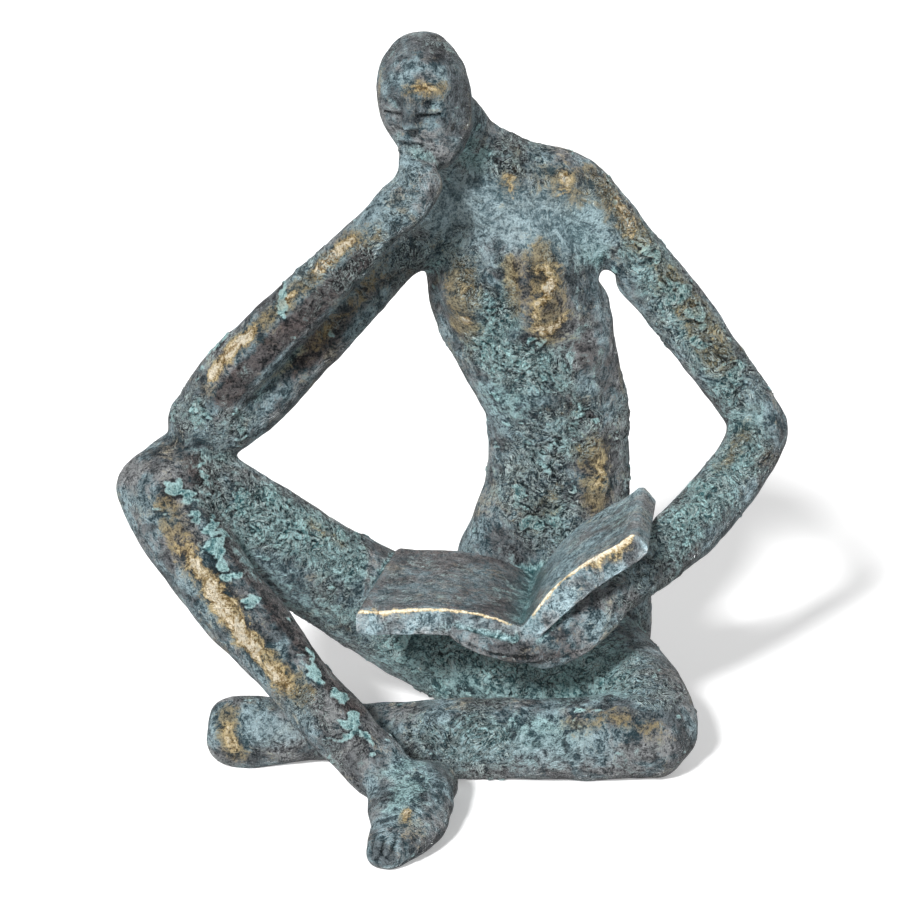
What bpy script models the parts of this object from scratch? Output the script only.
"""A seated figure that reads an open book, figure and book cast in one piece.

The figure sits on the ground with crossed legs and its right knee up. Its right elbow rests on that knee
and its chin in the hand. Its left hand carries the book in the lap.

Places on the figure are in thousandths of its height, from the middle of the seat on the ground:
x towards the figure's left hand, y towards its back, z up. The book's sizes are its own, in metres.
"""
from math import cos, pi, radians, sin

import bmesh
import bpy
import numpy as np
from mathutils import Vector

# Driving sizes, in metres
FIGURE_HEIGHT = 0.300
LEFT_LEAF_WIDTH = 0.0600
RIGHT_LEAF_WIDTH_FRONT = 0.0680
RIGHT_LEAF_WIDTH_BACK = 0.0600
BOOK_LEAF_LENGTH = 0.064
BOOK_THICKNESS = 0.0105
BOOK_PAGE_SWELL = 0.0032
BOOK_GUTTER_DEPTH = 0.0030

# How the book lies: its turn on the lap, and how steeply each leaf rises from the spine
BOOK_TURN = radians(6.4)
LEFT_LEAF_RISE = radians(41.5)
RIGHT_LEAF_RISE_FRONT = radians(1.5)
RIGHT_LEAF_RISE_BACK = radians(8.0)
SPINE_AT = (98, -292, 232)  # the gutter's front end, in thousandths of the height
PAGE_SWELL_END = 0.87  # where the swell has run out, as a share of the leaf's width
GUTTER_SHARPNESS = 6
UNDERSIDE_SWELL = 0.6  # how much of the pages' swell the underside follows
SPINE_WIDTH = 0.7  # as a share of the thickness
FORE_EDGE_ROUNDING = 0.16  # as a share of the thickness
LEAF_STEPS = 8
BOOK_RINGS = 4

# How finely the casting is made
SKIN_GRAIN = 0.0017
SKIN_SMOOTHING = 4
SKIN_SMOOTHING_STRENGTH = 0.5
SKIN_TRIANGLES = 8300
LOFT_SIDES = 24
LOFT_STEPS = 5
DOME_ANGLES = [radians(angle) for angle in (22, 44, 66)]
DOME_ROUNDNESS = 0.7  # how far a limb's end stands out, as a share of its smaller half width
CROWN_ROUNDNESS = 0.36
UPRIGHT_SPREAD = 100  # a limb whose ends are nearer than this, side to side, counts as upright
FINE_CORE = 0.8  # share of a ball's radius in which the facets stay finest
FINE_BLEND = 4  # how quickly they coarsen outside it
FINE_WEIGHT = 0.1
PLAIN_SKIN_FACTOR = 0.002

# Stations along each limb: centre, half width across the limb, and half thickness where it isn't round
TORSO = [
    (150, 4, 50, 128, 86), (149, 4, 96, 142, 96), (147, 3, 152, 144, 92), (146, 2, 200, 140, 86),
    (147, 3, 240, 130, 80), (150, 6, 280, 115, 76), (155, 10, 320, 105, 72), (157, 12, 365, 102, 70),
    (156, 10, 414, 102, 70), (152, 4, 455, 101, 73), (140, -2, 497, 105, 76), (124, -8, 538, 112, 79),
    (109, -12, 582, 119, 81), (95, -16, 627, 122, 81), (88, -19, 671, 122, 78), (88, -17, 713, 115, 70),
    (95, -14, 747, 98, 60),
]
SHOULDERS = [
    (-14, -20, 716, 48), (35, -20, 750, 55), (97, -14, 770, 61), (153, -14, 767, 56), (192, -14, 748, 51),
]
NECK = [(100, -8, 776, 58), (66, -20, 804, 49), (31, -41, 838, 40), (5, -64, 878, 41)]
THROAT = [(2, -64, 858, 32), (14, -38, 812, 42), (34, -24, 765, 48)]
SKULL = [
    (-20, -140, 828, 22, 20), (-21, -134, 841, 37, 34), (-23, -124, 860, 49, 52), (-26, -114, 879, 57, 66),
    (-30, -108, 899, 62, 74), (-34, -104, 919, 63, 77), (-37, -101, 940, 61, 75), (-39, -98, 958, 56, 69),
    (-40, -96, 974, 47, 58), (-41, -95, 987, 35, 43),
]
RIGHT_UPPER_ARM = [
    (-14, -20, 719, 45), (-72, -48, 688, 42), (-138, -82, 629, 43), (-204, -109, 563, 45),
    (-262, -129, 506, 46), (-314, -143, 468, 46),
]
RIGHT_FOREARM = [
    (-340, -150, 466, 48), (-310, -163, 524, 44), (-253, -173, 590, 40), (-195, -180, 650, 37),
    (-140, -184, 707, 34), (-96, -184, 753, 31), (-65, -180, 784, 32),
]
RIGHT_PALM = [(-84, -184, 763, 31, 28), (-53, -181, 792, 33, 30), (-33, -172, 817, 29, 24)]
RIGHT_FINGERS = [
    [(-48, -174, 800, 14), (-56, -162, 828, 12), (-60, -142, 854, 9)],
    [(-42, -188, 800, 14), (-53, -178, 822, 12), (-60, -160, 842, 9)],
]
LEFT_UPPER_ARM = [
    (186, -14, 748, 52), (228, -10, 704, 47), (277, -10, 647, 44), (335, -10, 577, 43), (385, -10, 509, 41),
    (430, -14, 447, 39), (443, -20, 420, 40),
]
LEFT_FOREARM = [
    (443, -20, 420, 40), (413, -44, 374, 41), (375, -82, 337, 43), (334, -126, 309, 42),
    (295, -167, 287, 40), (256, -204, 270, 37), (213, -245, 243, 31),
]
LEFT_PALM = [
    (213, -248, 238, 32, 26), (166, -268, 208, 36, 22), (118, -272, 188, 36, 20), (70, -266, 186, 30, 18),
]
LEFT_FINGERS = [
    [(120, -294, 184, 15), (70, -296, 192, 14), (30, -292, 203, 12), (4, -286, 214, 8)],
    [(120, -274, 180, 14), (66, -276, 186, 13), (24, -270, 198, 11), (0, -266, 208, 8)],
]
RIGHT_THIGH = [
    (73, 0, 91, 86), (-14, -27, 116, 84), (-72, -48, 154, 80), (-142, -75, 205, 74), (-211, -102, 259, 70),
    (-279, -129, 318, 67), (-339, -153, 367, 66), (-386, -170, 396, 66),
]
RIGHT_SHIN = [
    (-394, -175, 396, 65), (-378, -197, 350, 59), (-350, -218, 309, 56), (-319, -238, 271, 54),
    (-286, -259, 235, 52), (-252, -282, 202, 48), (-215, -313, 169, 45), (-184, -337, 139, 43),
    (-150, -361, 110, 42), (-121, -378, 83, 41), (-92, -392, 58, 42),
]
RIGHT_FOOT = [
    (-26, -352, 24, 36, 24), (-36, -384, 32, 50, 32), (-49, -418, 38, 56, 38), (-51, -458, 32, 57, 34),
    (-54, -512, 26, 49, 28), (-74, -560, 20, 34, 22), (-86, -584, 17, 24, 17),
]
LEFT_THIGH = [(194, 0, 88, 76), (241, -102, 86, 64), (275, -204, 76, 62), (284, -262, 59, 60)]
LEFT_SHIN = [
    (284, -272, 60, 61), (206, -274, 54, 57), (124, -270, 51, 55), (41, -266, 50, 55), (-28, -260, 48, 52),
    (-97, -240, 46, 44), (-167, -218, 41, 39), (-210, -212, 40, 39),
]
LEFT_FOOT = [
    (-150, -205, 36, 36, 34), (-209, -218, 42, 43, 40), (-250, -232, 47, 49, 38), (-285, -240, 50, 51, 34),
    (-316, -238, 52, 46, 30),
]
LAP = [(-40, -26, 86, 50), (29, -58, 80, 62), (128, -98, 80, 68), (205, -130, 82, 66), (250, -170, 76, 58)]

ACROSS_SIDE = (1, 0, 0)
ACROSS_UP = (0, 0, 1)
ROUND_LIMBS = [
    SHOULDERS, NECK, THROAT, RIGHT_UPPER_ARM, RIGHT_FOREARM, *RIGHT_FINGERS, LEFT_UPPER_ARM, LEFT_FOREARM,
    *LEFT_FINGERS, RIGHT_THIGH, RIGHT_SHIN, LEFT_THIGH, LEFT_SHIN, LAP,
]


def share(value):
    """A length in metres from thousandths of the figure's height."""
    return value * FIGURE_HEIGHT / 1000


def new_object(name, mesh):
    """An object with this mesh, in the scene."""
    item = bpy.data.objects.new(name, mesh)
    bpy.context.collection.objects.link(item)
    return item


def evaluated_mesh(item):
    """The mesh of an object with its modifiers carried out."""
    depsgraph = bpy.context.evaluated_depsgraph_get()
    return bpy.data.meshes.new_from_object(item.evaluated_get(depsgraph))


def smooth_stations(stations):
    """The stations with even steps between them, along a curve that passes through each."""
    rows = np.array([row if len(row) == 5 else (*row, row[3]) for row in stations], float)
    rows = np.vstack([2 * rows[0] - rows[1], rows, 2 * rows[-1] - rows[-2]])
    path = []
    for before, start, end, after in zip(rows, rows[1:], rows[2:], rows[3:]):
        for t in np.arange(LOFT_STEPS) / LOFT_STEPS:
            bend = 2 * before - 5 * start + 4 * end - after
            lift = 3 * start - before - 3 * end + after
            path.append((2 * start + (end - before) * t + bend * t**2 + lift * t**3) / 2)
    path.append(rows[-2])
    return np.array(path)


def ring(bm, centre, tangent, across, half_width, half_thickness):
    """A ring of vertices around the limb, its width along the across direction."""
    side = (across - tangent * across.dot(tangent)).normalized()
    other = tangent.cross(side)
    angles = [2 * pi * k / LOFT_SIDES for k in range(LOFT_SIDES)]
    reaches = [side * half_width * cos(a) + other * half_thickness * sin(a) for a in angles]
    return [bm.verts.new(centre + reach) for reach in reaches]


def dome(centre, outward, half_width, half_thickness, roundness):
    """Centre and half sizes of the rings that close a limb's end."""
    reach = roundness * min(half_width, half_thickness)
    rings = []
    for angle in DOME_ANGLES:
        narrowing = cos(angle)
        middle = centre + outward * reach * sin(angle)
        rings.append((middle, half_width * narrowing, half_thickness * narrowing))
    return rings


def loft(bm, stations, across, roundness=DOME_ROUNDNESS):
    """A closed limb with round ends through its stations."""
    path = smooth_stations(stations) * FIGURE_HEIGHT / 1000
    centres = [Vector(row[:3]) for row in path]
    before = [centres[0]] + centres[:-1]
    after = centres[1:] + [centres[-1]]
    tangents = [(b - a).normalized() for a, b in zip(before, after)]
    across = Vector(across)
    start = dome(centres[0], -tangents[0], *path[0][3:], roundness)
    end = dome(centres[-1], tangents[-1], *path[-1][3:], roundness)
    sections = [(c, tangents[0], w, h) for c, w, h in reversed(start)]
    sections += [(c, t, row[3], row[4]) for c, t, row in zip(centres, tangents, path)]
    sections += [(c, tangents[-1], w, h) for c, w, h in end]
    rings = [ring(bm, c, t, across, w, h) for c, t, w, h in sections]
    for lower, upper in zip(rings, rings[1:]):
        for k in range(LOFT_SIDES):
            following = (k + 1) % LOFT_SIDES
            bm.faces.new([lower[k], lower[following], upper[following], upper[k]])
    bm.faces.new(list(reversed(rings[0])))
    bm.faces.new(rings[-1])


def limbs_mesh():
    """Every limb as its own closed tube, still running through each other."""
    bm = bmesh.new()
    loft(bm, SKULL, ACROSS_SIDE, CROWN_ROUNDNESS)
    for stations in (TORSO, RIGHT_PALM, LEFT_PALM, RIGHT_FOOT):
        loft(bm, stations, ACROSS_SIDE)
    loft(bm, LEFT_FOOT, ACROSS_UP)
    for stations in ROUND_LIMBS:
        spread = abs(stations[-1][0] - stations[0][0])
        loft(bm, stations, ACROSS_SIDE if spread < UPRIGHT_SPREAD else ACROSS_UP)
    mesh = bpy.data.meshes.new("limbs")
    bm.to_mesh(mesh)
    bm.free()
    return mesh


def one_skin(mesh):
    """The limbs as one closed skin."""
    item = new_object("limbs", mesh)
    remesh = item.modifiers.new("One skin", "REMESH")
    remesh.mode = "VOXEL"
    remesh.voxel_size = SKIN_GRAIN
    smooth = item.modifiers.new("Worn", "SMOOTH")
    smooth.factor = SKIN_SMOOTHING_STRENGTH
    smooth.iterations = SKIN_SMOOTHING
    skin = evaluated_mesh(item)
    bpy.data.objects.remove(item)
    return skin


# Balls around the face and the hands, where the casting is finer: centre and radius
FINE = [((-45, -160, 890), 85), ((-60, -175, 810), 60), ((70, -285, 195), 75)]

# Marks pressed into the skin or raised on it: path, reach and height, in thousandths of the height
MARKS = [
    ([(22, -95, 640), (26, -95, 628)], 60, 16),
    ([(128, -98, 642), (132, -98, 624)], 64, 18),
    ([(76, -100, 690), (78, -105, 640), (84, -100, 600)], 26, -7),
    ([(104, 62, 720), (104, 70, 600), (150, 84, 420), (150, 98, 200)], 30, -10),
    ([(150, 100, 130), (150, 90, 40)], 26, -16),
    ([(50, 55, 690), (58, 60, 620)], 46, 9),
    ([(150, 58, 695), (142, 62, 625)], 46, 9),
    ([(-400, -225, 400)], 40, 6),
    ([(300, -300, 70)], 40, 4),
    ([(220, -24, 640), (220, 4, 642)], 23, -15),
    ([(-76, -166, 916)], 20, -9),
    ([(-24, -176, 914)], 20, -9),
    ([(-88, -150, 932), (-52, -180, 936), (-10, -170, 932)], 14, 4),
    ([(-52, -182, 922), (-50, -188, 886)], 13, 13),
    ([(-62, -176, 862), (-40, -178, 859)], 12, 4),
    ([(-64, -176, 861), (-38, -178, 858)], 6, -4),
    ([(-30, -164, 834)], 18, 5),
]


def press_marks(mesh):
    """Move the skin along its normals beside each mark, fading out at the mark's reach."""
    places = np.empty(len(mesh.vertices) * 3)
    mesh.vertices.foreach_get("co", places)
    places = places.reshape(-1, 3)
    normals = np.empty(len(mesh.vertices) * 3)
    mesh.vertex_normals.foreach_get("vector", normals)
    normals = normals.reshape(-1, 3)
    for path, reach, height in MARKS:
        corners = np.array(path, float) * FIGURE_HEIGHT / 1000
        gap = distance_to_path(places, corners) / share(reach)
        fade = np.clip(1 - gap**2, 0, None)**2
        places += normals * (fade * share(height))[:, None]
    mesh.vertices.foreach_set("co", places.ravel())
    mesh.update()


def distance_to_path(places, corners):
    """How far each place is from a path, or from a single point."""
    if len(corners) == 1:
        return np.linalg.norm(places - corners[0], axis=1)
    gaps = []
    for start, end in zip(corners, corners[1:]):
        run = end - start
        t = np.clip((places - start) @ run / (run @ run), 0, 1)
        gaps.append(np.linalg.norm(places - start - t[:, None] * run, axis=1))
    return np.min(gaps, axis=0)


def mark_plain_skin(figure):
    """A vertex group that leaves the face and the hands out, which keep finer facets."""
    group = figure.vertex_groups.new(name="plain skin")
    balls = [(Vector(centre) * FIGURE_HEIGHT / 1000, share(radius)) for centre, radius in FINE]
    for vertex in figure.data.vertices:
        near = min((vertex.co - centre).length / radius for centre, radius in balls)
        weight = (near - FINE_CORE) * FINE_BLEND
        group.add([vertex.index], min(1, max(FINE_WEIGHT, weight)), "REPLACE")
    return group


def page_swell(t):
    """How far the pages bulge at a share of the leaf's width from the gutter."""
    return BOOK_PAGE_SWELL * sin(pi * min(1, t / PAGE_SWELL_END))


def leaf_profile(side, rise, width):
    """The top of one leaf from gutter to fore-edge, and its underside back again, across the spine."""
    along = Vector((side * cos(rise), sin(rise)))
    up = Vector((-side * sin(rise), cos(rise)))
    rounding = FORE_EDGE_ROUNDING * BOOK_THICKNESS
    shares = [step / LEAF_STEPS for step in range(LEAF_STEPS + 1)]
    top = []
    under = []
    for t in shares:
        reach = width * t - (rounding if t == 1 else 0)
        top.append(along * reach + up * (page_swell(t) - BOOK_GUTTER_DEPTH * (1 - t)**GUTTER_SHARPNESS))
        under.append(along * reach + up * (page_swell(t) * UNDERSIDE_SWELL - BOOK_THICKNESS))
    fore_edge = [along * width - up * rounding, along * width + up * (rounding - BOOK_THICKNESS)]
    return top + fore_edge, list(reversed(under))[:-2]


def book_section(right_rise, right_width):
    """The outline of the open book across its spine."""
    right_top, right_under = leaf_profile(-1, right_rise, right_width)
    left_top, left_under = leaf_profile(1, LEFT_LEAF_RISE, LEFT_LEAF_WIDTH)
    half = SPINE_WIDTH * BOOK_THICKNESS / 2
    spine = [Vector((half, -BOOK_THICKNESS)), Vector((-half, -BOOK_THICKNESS))]
    return list(reversed(right_top)) + left_top[1:] + left_under + spine + list(reversed(right_under))


def book_mesh():
    """The open book as one closed body, made in rings from its front end to its back end."""
    front = Vector([share(value) for value in SPINE_AT])
    along_spine = Vector((sin(BOOK_TURN), cos(BOOK_TURN), 0))
    across = Vector((cos(BOOK_TURN), -sin(BOOK_TURN), 0))
    bm = bmesh.new()
    rings = []
    for step in range(BOOK_RINGS + 1):
        t = step / BOOK_RINGS
        rise = RIGHT_LEAF_RISE_FRONT + (RIGHT_LEAF_RISE_BACK - RIGHT_LEAF_RISE_FRONT) * t
        origin = front + along_spine * BOOK_LEAF_LENGTH * t
        width = RIGHT_LEAF_WIDTH_FRONT + (RIGHT_LEAF_WIDTH_BACK - RIGHT_LEAF_WIDTH_FRONT) * t
        section = book_section(rise, width)
        places = [origin + across * point.x + Vector((0, 0, point.y)) for point in section]
        rings.append([bm.verts.new(place) for place in places])
    count = len(rings[0])
    for lower, upper in zip(rings, rings[1:]):
        for k in range(count):
            following = (k + 1) % count
            bm.faces.new([lower[k], upper[k], upper[following], lower[following]])
    bm.faces.new(rings[0])
    bm.faces.new(list(reversed(rings[-1])))
    bmesh.ops.recalc_face_normals(bm, faces=bm.faces)
    bmesh.ops.triangulate(bm, faces=bm.faces)
    mesh = bpy.data.meshes.new("book")
    bm.to_mesh(mesh)
    bm.free()
    return mesh


def ground_mesh():
    """A block below the ground, which cuts the flat faces that the casting rests on."""
    bm = bmesh.new()
    bmesh.ops.create_cube(bm, size=4 * FIGURE_HEIGHT)
    bmesh.ops.translate(bm, verts=bm.verts, vec=(0, 0, -2 * FIGURE_HEIGHT))
    mesh = bpy.data.meshes.new("ground")
    bm.to_mesh(mesh)
    bm.free()
    return mesh


def patina():
    """Worn metal with a grey-green skin."""
    material = bpy.data.materials.new("patina")
    material.use_nodes = True
    shader = material.node_tree.nodes["Principled BSDF"]
    shader.inputs["Base Color"].default_value = (0.105, 0.150, 0.155, 1)
    shader.inputs["Roughness"].default_value = 0.62
    shader.inputs["Metallic"].default_value = 0.25
    return material


def boolean(item, cutter, operation):
    """Join the cutter to the item, or cut it out of it."""
    cutter.hide_render = True
    cutter.display_type = "WIRE"
    modifier = item.modifiers.new(cutter.name, "BOOLEAN")
    modifier.operation = operation
    modifier.object = cutter


def centred(mesh):
    """The mesh moved so that the middle of its underside is the origin."""
    places = np.empty(len(mesh.vertices) * 3)
    mesh.vertices.foreach_get("co", places)
    places = places.reshape(-1, 3)
    low = places.min(axis=0)
    middle = (low + places.max(axis=0)) / 2
    places -= (middle[0], middle[1], low[2])
    mesh.vertices.foreach_set("co", places.ravel())
    mesh.update()
    return mesh


def main():
    """The whole casting, with its helpers cleared away."""
    for item in list(bpy.data.objects):
        bpy.data.objects.remove(item)
    skin = one_skin(limbs_mesh())
    press_marks(skin)
    figure = new_object("figure", skin)
    triangles = sum(len(polygon.vertices) - 2 for polygon in skin.polygons)
    coarse = figure.modifiers.new("Facets", "DECIMATE")
    coarse.ratio = min(1, SKIN_TRIANGLES / triangles)
    coarse.vertex_group = mark_plain_skin(figure).name
    coarse.vertex_group_factor = PLAIN_SKIN_FACTOR
    boolean(figure, new_object("book", book_mesh()), "UNION")
    boolean(figure, new_object("ground", ground_mesh()), "DIFFERENCE")
    casting = new_object("reading_figure", centred(evaluated_mesh(figure)))
    casting.data.materials.clear()
    casting.data.materials.append(patina())
    for helper in ("figure", "book", "ground"):
        bpy.data.objects.remove(bpy.data.objects[helper])


main()
